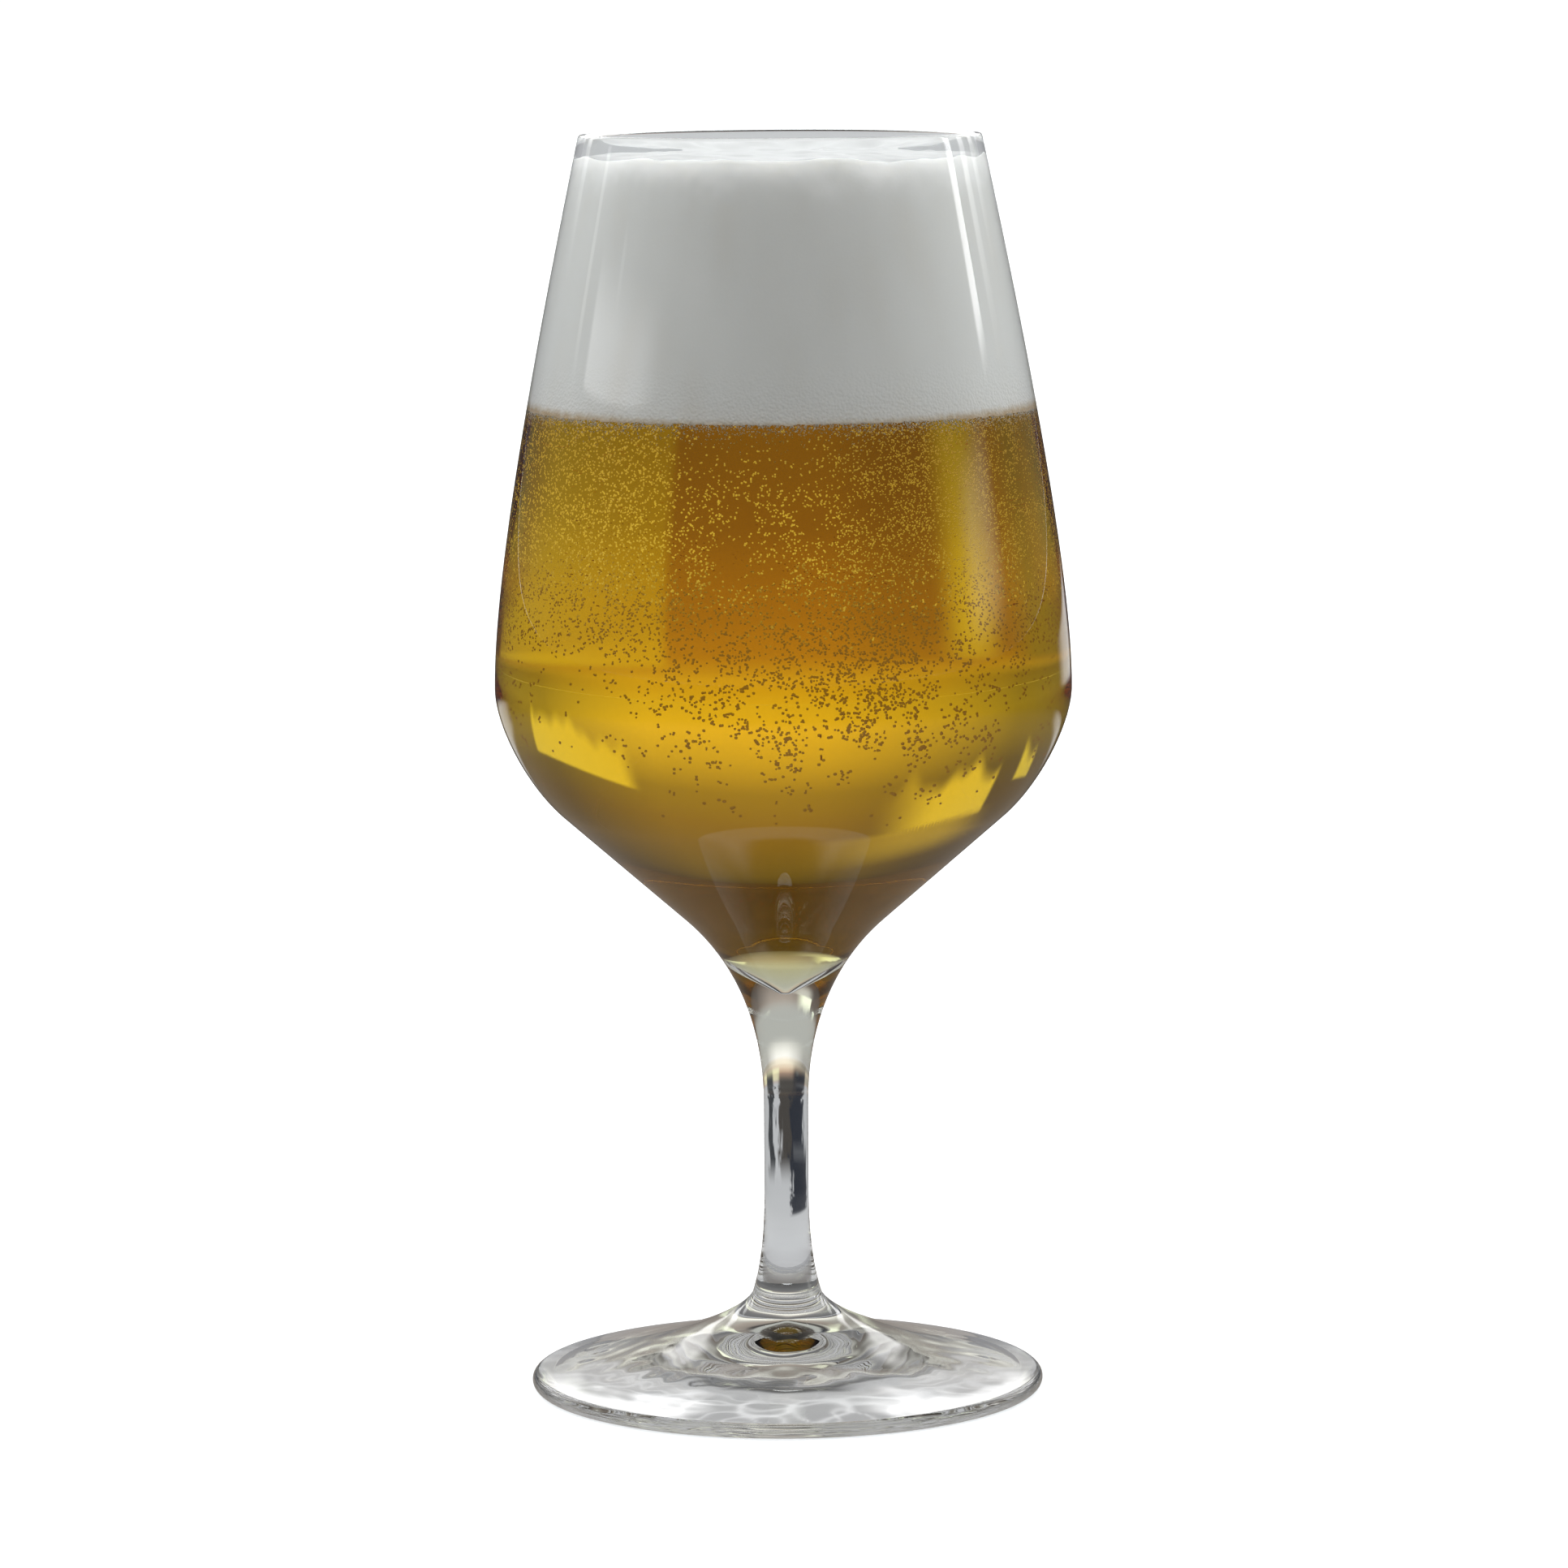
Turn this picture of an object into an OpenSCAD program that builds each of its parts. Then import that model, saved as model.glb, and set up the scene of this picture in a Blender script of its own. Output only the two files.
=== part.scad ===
// Stemmed tulip beer glass, poured full: a blown bowl, a drawn stem and a pressed foot of clear glass,
// with the beer and the head of foam that stand in the bowl.
// Millimetres, +Z up, origin at the centre of the ring that the foot stands on.
// Every piece is turned about the Z axis, so an outline holds points of [radius, height].

/* [Bowl] */
// Height of the rim above the table
glass_h = 180; // [165:1:200]
// Outside diameter of the rim
rim_d = 57.2; // [50:0.2:70]
// Inward lean of the wall at the rim, in degrees from upright
rim_lean = 12; // [6:0.5:16]
// Outside diameter at the widest point
belly_d = 82.4; // [76:0.2:92]
// Height of the widest point above the table
belly_z = 101.5; // [96:0.5:115]
// Thickness of the bowl's wall
wall = 1.2; // [0.8:0.1:2]
// Thickness of the wall at the rim, where it is melted round
rim_wall = 1; // [0.6:0.1:1.6]

/* [Bowl underside] */
// Outside diameter at the lower end of the straight underside
cone_low_d = 28.6; // [24:0.2:34]
// Height of the lower end of the straight underside above the table
cone_low_z = 68; // [64:0.5:72]
// Outside diameter at the upper end of the straight underside
cone_top_d = 63.5; // [54:0.5:70]
// Rise of the straight underside, in degrees from level
cone_rise = 41.2; // [37:0.2:46]
// Thickness of the wall at the lower end of the straight underside, which thins to the bowl's wall above it
cone_wall = 1.6; // [1.2:0.1:2.2]
// Radius of the round tip at the bottom of the drinking space
tip_r = 1; // [0.6:0.1:4]

/* [Stem] */
// Diameter of the stem at its straight waist
stem_d = 6.4; // [5:0.1:8]
// Height of the waist's lower end above the table
waist_low_z = 28.5; // [24:0.5:34]
// Height of the waist's upper end above the table
waist_top_z = 41; // [36:0.5:46]
// Diameter of the stem where it is fused to the foot
joint_d = 10; // [9:0.2:14]
// Height of the seam between stem and foot above the table
joint_z = 13.4; // [10:0.2:18]

/* [Foot] */
// Outside diameter of the foot
foot_d = 73.8; // [62:0.2:86]
// Thickness of the foot's round edge
foot_edge = 2.2; // [1.6:0.1:3.2]
// Width of the flat ring that the foot stands on
ring_w = 2; // [1:0.5:6]
// Depth of the hollow under the foot, which follows the upper face
foot_hollow = 6.5; // [3:0.1:7.5]

/* [Drink] */
// Height of the beer's surface, under the foam, above the table
beer_z = 141.4; // [125:0.2:158]
// Depth of the foam's edge below the rim
headspace = 3.2; // [2:0.1:6]
// Rise of the foam's middle above its edge
foam_crown = 0.6; // [0.2:0.1:2]

/* [Hidden] */
// Handles of each curve, as shares of that curve's height or reach: at its lower end, then at its upper end
wall_shares = [0.21, 0.37];
shoulder_shares = [0.37, 0.28];
neck_shares = [0.52, 0.26];
flare_shares = [0.26, 0.42];
// Handles of the foot's upper curve, as shares of its reach: at the edge, then at the seam
foot_shares = [0.27, 0.18];
// Place of the seam between stem and bowl along the neck's curve
seam_share = 0.25;
// Lean of the stem at the foot, from upright, then rise of the foot's top at its seam and edge, from level
flare_lean = 18;
foot_rise = 61;
edge_rise = 8.3;
// Roundness of a dome: 1 is a cone and 2 is a parabola, for the hollow under the foot, then the foam
hollow_roundness = 1.2;
crown_roundness = 2;
// Straight steps in each curve, in each round edge and around a turned piece
curve_steps = 24;
round_steps = 12;
turn_steps = 128;

// Radii and heights that follow from the sizes above
rim_r = rim_d / 2;
rim_half = rim_wall / 2;
rim_z = glass_h - rim_half * (1 - sin(rim_lean));
belly_r = belly_d / 2;
cone_low_r = cone_low_d / 2;
cone_top_r = cone_top_d / 2;
cone_top_z = cone_low_z + (cone_top_r - cone_low_r) * tan(cone_rise);
stem_r = stem_d / 2;
joint_r = joint_d / 2;
edge_r = foot_edge / 2;
edge_mid = foot_d / 2 - edge_r;
ring_in = edge_mid - ring_w;
foam_z = glass_h - headspace;

// Heights and reaches that the curves' handles are shares of
wall_rise = glass_h - belly_z;
shoulder_rise = belly_z - cone_top_z;
neck_rise = cone_low_z - waist_top_z;
flare_rise = waist_low_z - joint_z;
foot_reach = edge_mid - joint_r;

// Directions along the pieces
up = [0, 1];
along_cone = [cos(cone_rise), sin(cone_rise)];
along_rim = [-sin(rim_lean), cos(rim_lean)];
along_flare = [-sin(flare_lean), cos(flare_lean)];
along_edge = [-cos(edge_rise), sin(edge_rise)];
along_foot = [-cos(foot_rise), sin(foot_rise)];

// Point at share t of a cubic curve with two end points and a handle at each
function curve_at(c, t) =
    pow(1 - t, 3) * c[0] + 3 * t * pow(1 - t, 2) * c[1] + 3 * t * t * (1 - t) * c[2] + pow(t, 3) * c[3];

// Unit vector along that curve at share t
function heading_at(c, t) =
    let (way = pow(1 - t, 2) * (c[1] - c[0]) + 2 * t * (1 - t) * (c[2] - c[1]) + t * t * (c[3] - c[2]))
    way / norm(way);

// Points along a curve between two shares of it
function curve(c, from = 0, to = 1) =
    [for (i = [0:curve_steps]) curve_at(c, from + (to - from) * i / curve_steps)];

// The inner face of a wall whose outer face climbs along a curve
function lining(c, low_wall, high_wall) =
    [for (i = [0:curve_steps])
        let (t = i / curve_steps)
        let (way = heading_at(c, t))
        curve_at(c, t) + (low_wall + (high_wall - low_wall) * t) * [-way.y, way.x]];

// Points of an arc between two angles
function arc(middle, radius, from, to) =
    [for (i = [0:round_steps])
        let (a = from + (to - from) * i / round_steps)
        middle + radius * [cos(a), sin(a)]];

// Points of a dome from one radius to another, high at the axis and level with `base` at `span`
function dome(span, base, crown, roundness, from, to) =
    [for (i = [0:curve_steps])
        let (r = from + (to - from) * i / curve_steps)
        [r, base + crown * (1 - pow(r / span, roundness))]];

// Second list after the first, without the point that they share
function chain(a, b) = concat(a, [for (i = [1:len(b) - 1]) b[i]]);

// A list from its end to its start
function turned(a) = [for (i = [len(a) - 1:-1:0]) a[i]];

// Point where the line from p to q passes a level
function crossing(p, q, level) = p + (q - p) * (level - p.y) / (q.y - p.y);

// The stretch of a climbing outline below a level, and the stretch above one
function below(a, level) =
    [for (i = [0:len(a) - 2])
        let (p = a[i], q = a[i + 1])
        if (p.y < level) each q.y < level ? [p] : [p, crossing(p, q, level)]];
function above(a, level) =
    [for (i = [0:len(a) - 2])
        let (p = a[i], q = a[i + 1])
        if (q.y > level) each p.y > level ? [q] : [crossing(p, q, level), q]];

// The outside of the glass, from the table to the rim
joint_point = [joint_r, joint_z];
waist_low = [stem_r, waist_low_z];
waist_top = [stem_r, waist_top_z];
cone_low = [cone_low_r, cone_low_z];
cone_top = [cone_top_r, cone_top_z];
belly = [belly_r, belly_z];
rim = [rim_r, rim_z];
foot_side = arc([edge_mid, edge_r], edge_r, -90, 90 - edge_rise);
foot_edge_point = foot_side[round_steps];
foot_curve = [
    foot_edge_point,
    foot_edge_point + foot_reach * foot_shares[0] * along_edge,
    joint_point - foot_reach * foot_shares[1] * along_foot,
    joint_point
];
flare_curve = [
    joint_point,
    joint_point + flare_rise * flare_shares[0] * along_flare,
    waist_low - flare_rise * flare_shares[1] * up,
    waist_low
];
neck_curve = [
    waist_top,
    waist_top + neck_rise * neck_shares[0] * up,
    cone_low - neck_rise * neck_shares[1] * along_cone,
    cone_low
];
shoulder_curve = [
    cone_top,
    cone_top + shoulder_rise * shoulder_shares[0] * along_cone,
    belly - shoulder_rise * shoulder_shares[1] * up,
    belly
];
wall_curve = [
    belly,
    belly + wall_rise * wall_shares[0] * up,
    rim - wall_rise * wall_shares[1] * along_rim,
    rim
];
seam_z = curve_at(neck_curve, seam_share).y;

// The drinking space: the underside's inner face runs on down to a round tip on the axis
into_cone = [-along_cone.y, along_cone.x];
lining_low = cone_low + cone_wall * into_cone;
lining_top = cone_top + wall * into_cone;
inner_rise = atan2(lining_top.y - lining_low.y, lining_top.x - lining_low.x);
tip_mid = lining_low.y - lining_low.x * tan(inner_rise) + tip_r / cos(inner_rise);
inside = concat(
    arc([0, tip_mid], tip_r, -90, -90 + inner_rise),
    chain(lining(shoulder_curve, wall, wall), lining(wall_curve, wall, rim_wall))
);
rim_round = arc(rim + rim_half * [-along_rim.y, along_rim.x], rim_half, rim_lean, rim_lean + 180);

// A solid turned about the axis from its half outline
module turn(outline) {
    rotate_extrude($fn = turn_steps) polygon(outline);
}

// Thin blown shell with a solid neck under it, down to the seam with the stem
module bowl() {
    neck = curve(neck_curve, seam_share, 1);
    outside = concat(neck, chain(curve(shoulder_curve), curve(wall_curve)));
    color("aliceblue", 0.35)
        turn(concat([[0, seam_z]], chain(chain(outside, rim_round), turned(inside))));
}

// Solid drawn stem, flared at both ends to meet the foot and the bowl face to face
module stem() {
    outside = concat(curve(flare_curve), curve(neck_curve, 0, seam_share));
    color("lightcyan", 0.45)
        turn(concat([[0, joint_z]], outside, [[0, seam_z]]));
}

// Pressed foot: a hollowed underside, a flat ring to stand on, a round edge and a sweep up to the stem
module foot() {
    underside = dome(ring_in, 0, foot_hollow, hollow_roundness, 0, ring_in);
    color("azure", 0.4)
        turn(concat(underside, chain(foot_side, curve(foot_curve)), [[0, joint_z]]));
}

// The beer, which fills the drinking space up to its surface
module beer() {
    color([0.82, 0.52, 0.06], 0.8)
        turn(concat(below(inside, beer_z), [[0, beer_z]]));
}

// The head of foam, from the beer's surface to a low crown just under the rim
module foam_head() {
    side = above(below(inside, foam_z), beer_z);
    edge = side[len(side) - 1].x;
    color("ivory")
        turn(concat([[0, beer_z]], chain(side, dome(edge, foam_z, foam_crown, crown_roundness, edge, 0))));
}

bowl();
stem();
foot();
beer();
foam_head();
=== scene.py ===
# %% [markdown]
# # A tulip glass of beer
#
# A lesson in building one object from surfaces of revolution. The glass is really three gathers of hot
# glass, a blown bowl, a drawn stem and a pressed foot, fused while soft. In the bowl stand the beer and a
# head of foam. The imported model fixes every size, and this script only dresses it: smoother surfaces,
# glass and liquid finishes, bubbles, and a small studio to see them in.

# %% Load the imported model
import math

import bpy
import numpy as np
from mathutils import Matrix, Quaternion, Vector


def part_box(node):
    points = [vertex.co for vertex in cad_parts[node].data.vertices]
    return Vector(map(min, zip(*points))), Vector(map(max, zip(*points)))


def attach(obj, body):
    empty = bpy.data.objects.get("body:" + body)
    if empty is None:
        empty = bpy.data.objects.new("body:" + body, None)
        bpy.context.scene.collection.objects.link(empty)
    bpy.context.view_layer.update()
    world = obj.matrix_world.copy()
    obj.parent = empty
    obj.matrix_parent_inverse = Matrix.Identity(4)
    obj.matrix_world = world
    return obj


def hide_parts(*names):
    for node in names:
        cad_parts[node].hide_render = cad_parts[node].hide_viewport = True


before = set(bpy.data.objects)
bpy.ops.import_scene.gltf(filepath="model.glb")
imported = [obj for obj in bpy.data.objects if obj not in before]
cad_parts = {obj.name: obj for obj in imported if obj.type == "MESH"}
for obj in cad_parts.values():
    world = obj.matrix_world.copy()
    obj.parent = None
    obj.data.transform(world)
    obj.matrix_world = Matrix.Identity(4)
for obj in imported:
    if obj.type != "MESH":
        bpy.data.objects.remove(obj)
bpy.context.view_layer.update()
print("packed nodes:", sorted(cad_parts))

# %% [markdown]
# ## Sizes
#
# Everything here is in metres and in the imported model's own frame: +Z up, origin in the middle of the ring
# that the foot stands on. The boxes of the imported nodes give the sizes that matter. What a box cannot
# tell, such as where the bowl's straight underside begins, is a named value in the step that needs it.

# %% Read the sizes of the glass and the drink
MM = 0.001

bowl_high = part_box("bowl")[1]
stem_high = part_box("stem")[1]
foot_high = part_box("foot")[1]
beer_low, beer_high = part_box("beer")
foam_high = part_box("foam_head")[1]

RIM_Z = bowl_high.z
BELLY_R = bowl_high.y
SEAM_Z = stem_high.z
JOINT_Z = foot_high.z
JOINT_R = stem_high.y
FOOT_R = foot_high.y
TIP_Z = beer_low.z
BEER_Z = beer_high.z
WALL = BELLY_R - beer_high.y
print("height %.1f mm, belly %.1f mm, wall %.2f mm" % (RIM_Z / MM, 2 * BELLY_R / MM, WALL / MM))

# %% [markdown]
# ## Outlines
#
# A turned piece is one half outline spun about the axis. Each stretch of the outline is a cubic curve:
# two end points, and a handle at each that says which way the curve leaves. The bowl's inner face is the
# outer face moved inwards by the wall's thickness, along the curve's own normal, as it is in blown glass.

# %% Helpers for outlines
QUARTER = math.pi / 2
SAME_POINT = 1e-7


def heading(angle):
    """Unit vector in the outline's plane: outwards at angle 0, upwards at a quarter turn."""
    return np.array([math.cos(angle), math.sin(angle)])


def handles(start, leave, stop, arrive, size, shares):
    """Ends and handles of a cubic curve: each handle is a share of the size away from its end."""
    return [start, start + shares[0] * size * leave, stop - shares[1] * size * arrive, stop]


def cubic(curve, steps, start=0.0, stop=1.0):
    """Points of a cubic curve: the weighted mean of its ends and handles, with weights that slide along."""
    t = np.linspace(start, stop, steps + 1)[:, None]
    a, b, c, d = curve
    return a * (1 - t) ** 3 + 3 * b * t * (1 - t) ** 2 + 3 * c * t * t * (1 - t) + d * t**3


def inward(curve, steps, low_wall, high_wall):
    """The same curve moved along its left-hand normal by a thickness that changes evenly along it."""
    t = np.linspace(0, 1, steps + 1)[:, None]
    a, b, c, d = curve
    way = (b - a) * (1 - t) ** 2 + 2 * (c - b) * t * (1 - t) + (d - c) * t * t
    way /= np.linalg.norm(way, axis=1, keepdims=True)
    normal = np.stack([-way[:, 1], way[:, 0]], axis=1)
    return cubic(curve, steps) + normal * (low_wall + (high_wall - low_wall) * t)


def arc(middle, radius, start, stop, steps):
    """Points of a circle between two angles."""
    a = np.linspace(start, stop, steps + 1)
    return np.asarray(middle) + radius * np.stack([np.cos(a), np.sin(a)], axis=1)


def join(*stretches):
    """The stretches one after another, without points that repeat the one before."""
    points = np.concatenate(stretches)
    step = np.linalg.norm(np.diff(points, axis=0), axis=1)
    return points[np.concatenate([[True], step > SAME_POINT])]


# %% [markdown]
# ## The curves of the glass
#
# From the table up: a flare where the stem meets the foot, a straight waist, a neck that opens into a
# straight cone, a shoulder round the belly, and a wall that leans in towards the rim. The seam between
# stem and bowl lies a quarter of the way along the neck.

# %% The curves of the glass
RIM_R = 28.6 * MM
RIM_WALL = 1.0 * MM
RIM_LEAN = math.radians(12)
BELLY_Z = 101.5 * MM
CONE_LOW = np.array([14.3, 68.0]) * MM
CONE_TOP_R = 31.75 * MM
CONE_RISE = math.radians(41.2)
STEM_R = 3.2 * MM
WAIST_LOW_Z = 28.5 * MM
WAIST_TOP_Z = 41.0 * MM
FLARE_LEAN = math.radians(18)
FLARE_SHARES = (0.26, 0.42)
NECK_SHARES = (0.52, 0.26)
SHOULDER_SHARES = (0.37, 0.28)
WALL_SHARES = (0.21, 0.37)
SEAM_SHARE = 0.25

up = heading(QUARTER)
along_cone = heading(CONE_RISE)
along_rim = heading(QUARTER + RIM_LEAN)
along_flare = heading(QUARTER + FLARE_LEAN)

joint = np.array([JOINT_R, JOINT_Z])
waist_low = np.array([STEM_R, WAIST_LOW_Z])
waist_top = np.array([STEM_R, WAIST_TOP_Z])
cone_top = CONE_LOW + along_cone * (CONE_TOP_R - CONE_LOW[0]) / along_cone[0]
belly = np.array([BELLY_R, BELLY_Z])
rim = np.array([RIM_R, RIM_Z - RIM_WALL / 2 * (1 - math.sin(RIM_LEAN))])

flare_curve = handles(joint, along_flare, waist_low, up, WAIST_LOW_Z - JOINT_Z, FLARE_SHARES)
neck_curve = handles(waist_top, up, CONE_LOW, along_cone, CONE_LOW[1] - WAIST_TOP_Z, NECK_SHARES)
shoulder_curve = handles(cone_top, along_cone, belly, up, BELLY_Z - cone_top[1], SHOULDER_SHARES)
wall_curve = handles(belly, up, rim, along_rim, RIM_Z - BELLY_Z, WALL_SHARES)
print("seam at %.2f mm, packed %.2f mm" % (cubic(neck_curve, 1, 0, SEAM_SHARE)[1, 1] / MM, SEAM_Z / MM))

# %% The inside of the bowl, from its tip to the rim
CONE_WALL = 1.6 * MM
TIP_R = 1.0 * MM
TIP_STEPS = 14
CONE_STEPS = 24
SHOULDER_STEPS = 32
WALL_STEPS = 72

into_cone = heading(CONE_RISE + QUARTER)
lining_low = CONE_LOW + CONE_WALL * into_cone
lining_top = cone_top + WALL * into_cone
inner_rise = math.atan2(*(lining_top - lining_low)[::-1])
tip_middle = lining_low[1] - lining_low[0] * math.tan(inner_rise) + TIP_R / math.cos(inner_rise)
tip_round = arc([0, tip_middle], TIP_R, -QUARTER, inner_rise - QUARTER, TIP_STEPS)
shoulder_lining = inward(shoulder_curve, SHOULDER_STEPS, WALL, WALL)
wall_lining = inward(wall_curve, WALL_STEPS, WALL, RIM_WALL)
cone_lining = np.linspace(tip_round[-1], shoulder_lining[0], CONE_STEPS + 1)
inside = join(tip_round, cone_lining, shoulder_lining, wall_lining)
print("tip of the inside at %.2f mm, packed %.2f mm" % (inside[0, 1] / MM, TIP_Z / MM))


def inside_radius(z):
    """Radius of the bowl's inner face at a height."""
    return np.interp(z, inside[:, 1], inside[:, 0])


# %% [markdown]
# ## Turning an outline into a mesh
#
# Blender has a Screw modifier and a Spin operator for this. Working the rings out as arrays is as short,
# and it leaves one clean closed mesh: an end of the outline on the axis becomes a single vertex, so the
# poles are closed, and the last column of faces meets the first, so there is no seam.

# %% Helpers that make meshes
SHARP_FROM = math.radians(40)


def new_piece(name, points, faces, finish_of_face=None):
    """A smooth-shaded mesh object from arrays of points and faces."""
    mesh = bpy.data.meshes.new(name)
    mesh.from_pydata(points.tolist(), [], faces)
    mesh.polygons.foreach_set("use_smooth", np.ones(len(faces), bool))
    if finish_of_face is not None:
        mesh.polygons.foreach_set("material_index", finish_of_face.astype(np.int32))
    mesh.set_sharp_from_angle(angle=SHARP_FROM)
    piece = bpy.data.objects.new(name, mesh)
    bpy.context.collection.objects.link(piece)
    print("%s: %d faces" % (name, len(faces)))
    return piece


def turned(name, outline, columns, finishes=(), moved=None):
    """Vertex (i, j) lies at outline point i, turned by j / columns of a turn about Z, and then moved."""
    outline = np.array(outline, float)
    a = np.linspace(0, 2 * math.pi, columns, endpoint=False)
    rings = outline[1:-1]
    x = rings[:, :1] * np.cos(a)
    y = rings[:, :1] * np.sin(a)
    z = np.repeat(rings[:, 1:], columns, axis=1)
    poles = np.array([[0, 0, outline[0, 1]], [0, 0, outline[-1, 1]]])
    points = np.concatenate([np.stack([x, y, z], axis=2).reshape(-1, 3), poles])
    low, high = len(points) - 2, len(points) - 1
    i, j = np.meshgrid(np.arange(len(rings) - 1) * columns, np.arange(columns), indexing="ij")
    k = (j + 1) % columns
    quads = np.stack([i + j, i + k, i + columns + k, i + columns + j], axis=2).reshape(-1, 4)
    j, k = np.arange(columns), (np.arange(columns) + 1) % columns
    last = (len(rings) - 1) * columns
    first_fan = np.stack([np.full(columns, low), k, j], axis=1)
    last_fan = np.stack([np.full(columns, high), last + j, last + k], axis=1)
    faces = first_fan.tolist() + quads.tolist() + last_fan.tolist()
    if moved is not None:
        points = moved(points)
    bands = np.zeros(len(outline) - 1, int)
    for band, finish in finishes:
        bands[band] = finish
    return new_piece(name, points, faces, np.repeat(bands, columns))


def around_axis(points):
    """Distance of each point from the axis."""
    return np.hypot(points[:, 0], points[:, 1])


# %% [markdown]
# ## Chance, and soft steps
#
# Nothing blown, drawn or poured is quite even. Plane waves with random headings add up to a smooth
# unevenness of one wavelength, and a seed of its own keeps each the same in every run. Steps with soft
# ends fade one thing into another.

# %% Helpers for unevenness and soft steps
def ripples(points, wavelength, seed, waves=40):
    """Smooth random heights of about one unit: plane waves of one length, with random headings and starts."""
    draw = np.random.default_rng(seed)
    way = draw.normal(size=(waves, 3))
    way *= 2 * math.pi / wavelength / np.linalg.norm(way, axis=1, keepdims=True)
    return np.cos(points @ way.T + draw.uniform(0, 2 * math.pi, waves)).sum(axis=1) * math.sqrt(2 / waves)


def swell(points, *rows):
    """A sum of ripples, each given by its height, its wavelength and its seed."""
    return sum(height * ripples(points, wavelength, seed) for height, wavelength, seed in rows)


def ease(value, start, stop):
    """0 before start, 1 after stop, and a smooth S between them."""
    t = np.clip((value - start) / (stop - start), 0, 1)
    return t * t * (3 - 2 * t)


def bell(value, middle, width):
    """1 at the middle, falling away evenly on both sides."""
    return np.exp(-(((value - middle) / width) ** 2))


# %% [markdown]
# ## Finishes
#
# Clear glass is a Principled shader with full transmission. A path tracer finds lamps by sending shadow
# rays straight at them, and glass would stop those, so for shadow rays alone the glass is a Transparent
# shader: the foam inside is then lit as evenly as it is in the open.
#
# Where glass touches beer there is one surface, not two, and it bends light by the ratio of the two
# indices. The wetted part of the bowl's inner face carries that ratio, and the beer's own skin bends
# nothing. Where two pieces of glass are fused there is no surface at all, so the end faces at the seams
# are passed straight through.

# %% Helpers for node trees
def node_adder(owner):
    """Empties the node tree of a material or world, and gives the function that adds nodes to it."""
    owner.use_nodes = True
    tree = owner.node_tree
    tree.nodes.clear()

    def add(kind, *in_order, **by_name):
        """A new node. An input takes a value, a socket, or a node, and then that node's first output."""
        node = tree.nodes.new("ShaderNode" + kind)
        for key, value in (*enumerate(in_order), *by_name.items()):
            socket = node.inputs[key.replace("_", " ") if isinstance(key, str) else key]
            if isinstance(value, bpy.types.Node):
                value = value.outputs[0]
            if isinstance(value, bpy.types.NodeSocket):
                tree.links.new(value, socket)
            else:
                socket.default_value = value
        return node

    return add


def add_ramp(add, value, stops):
    """A colour ramp fed by a value: its stops are places from 0 to 1, each with a colour."""
    node = add("ValToRGB", value)
    elements = node.color_ramp.elements
    while len(elements) < len(stops):
        elements.new(0.5)
    for element, (place, colour) in zip(elements, stops):
        element.position = place
        element.color = (*colour, 1)
    return node


def new_material(name):
    """A material with an empty node tree, and the function that adds nodes to it."""
    material = bpy.data.materials.new(name)
    print("finish:", name)
    return material, node_adder(material)


def plain_finish(name, kind, **inputs):
    """A material of a single shader."""
    material, add = new_material(name)
    add("OutputMaterial", add(kind, **inputs))
    return material


# %% Finishes of the glass and the beer
GLASS_INDEX = 1.5
BEER_INDEX = 1.34
GLASS_TINT = (0.985, 0.995, 1.0, 1)
WHITE = (1, 1, 1, 1)


def glass_finish(name, index):
    """Polished glass of a given index, which lets shadow rays through."""
    material, add = new_material(name)
    glass = add("BsdfPrincipled", Base_Color=GLASS_TINT, Roughness=0.0, IOR=index, Transmission_Weight=1.0)
    clear = add("BsdfTransparent", Color=(0.95, 0.96, 0.97, 1))
    shadow = add("LightPath").outputs["Is Shadow Ray"]
    add("OutputMaterial", add("MixShader", shadow, glass, clear))
    return material


def amber_beer():
    """Clear beer: its skin bends nothing, and blue, then green, is lost along the way through it."""
    material, add = new_material("amber_beer")
    beer = add("BsdfPrincipled", Base_Color=WHITE, Roughness=0.0, IOR=1.0, Transmission_Weight=1.0)
    depth = add("VolumeAbsorption", Color=(0.917, 0.797, 0.025, 1), Density=65.0)
    add("OutputMaterial", Surface=beer, Volume=depth)
    return material


GLASS = glass_finish("clear_glass", GLASS_INDEX)
WETTED = glass_finish("wetted_glass", GLASS_INDEX / BEER_INDEX)
FUSED = plain_finish("fused_seam", "BsdfTransparent")
BEER = amber_beer()

# %% [markdown]
# ## The bowl
#
# A real bowl is blown into a mould and its rim is cut and melted round. The outline runs up the outside,
# over the rim and down the inside to the tip, so the wall is closed. Its bands of faces take three
# finishes: glass to air, the fused seam below, and the wetted glass up to the level of the beer.

# %% Bowl
RIM_STEPS = 12
NECK_STEPS = 36
BOWL_COLUMNS = 224


def finish_piece(piece, node, slot, *materials):
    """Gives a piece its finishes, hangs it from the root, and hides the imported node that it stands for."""
    for material in materials:
        piece.data.materials.append(material)
    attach(piece, "root")
    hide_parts(node)


rim_middle = rim + RIM_WALL / 2 * heading(math.pi + RIM_LEAN)
rim_round = arc(rim_middle, RIM_WALL / 2, RIM_LEAN, RIM_LEAN + math.pi, RIM_STEPS)
bowl_outside = join(
    cubic(neck_curve, NECK_STEPS, SEAM_SHARE, 1),
    np.linspace(CONE_LOW, cone_top, CONE_STEPS // 2 + 1),
    cubic(shoulder_curve, SHOULDER_STEPS),
    cubic(wall_curve, WALL_STEPS),
)
bowl_outline = join([[0, SEAM_Z]], bowl_outside, rim_round, inside[::-1])
rim_top = bowl_outline[:, 1].argmax()
wet = rim_top + np.flatnonzero(bowl_outline[rim_top + 1 :, 1] < BEER_Z)
bowl = turned("bowl_glass", bowl_outline, BOWL_COLUMNS, [(0, 1), (wet, 2)])
finish_piece(bowl, "bowl", "clear_glass", GLASS, FUSED, WETTED)

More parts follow.
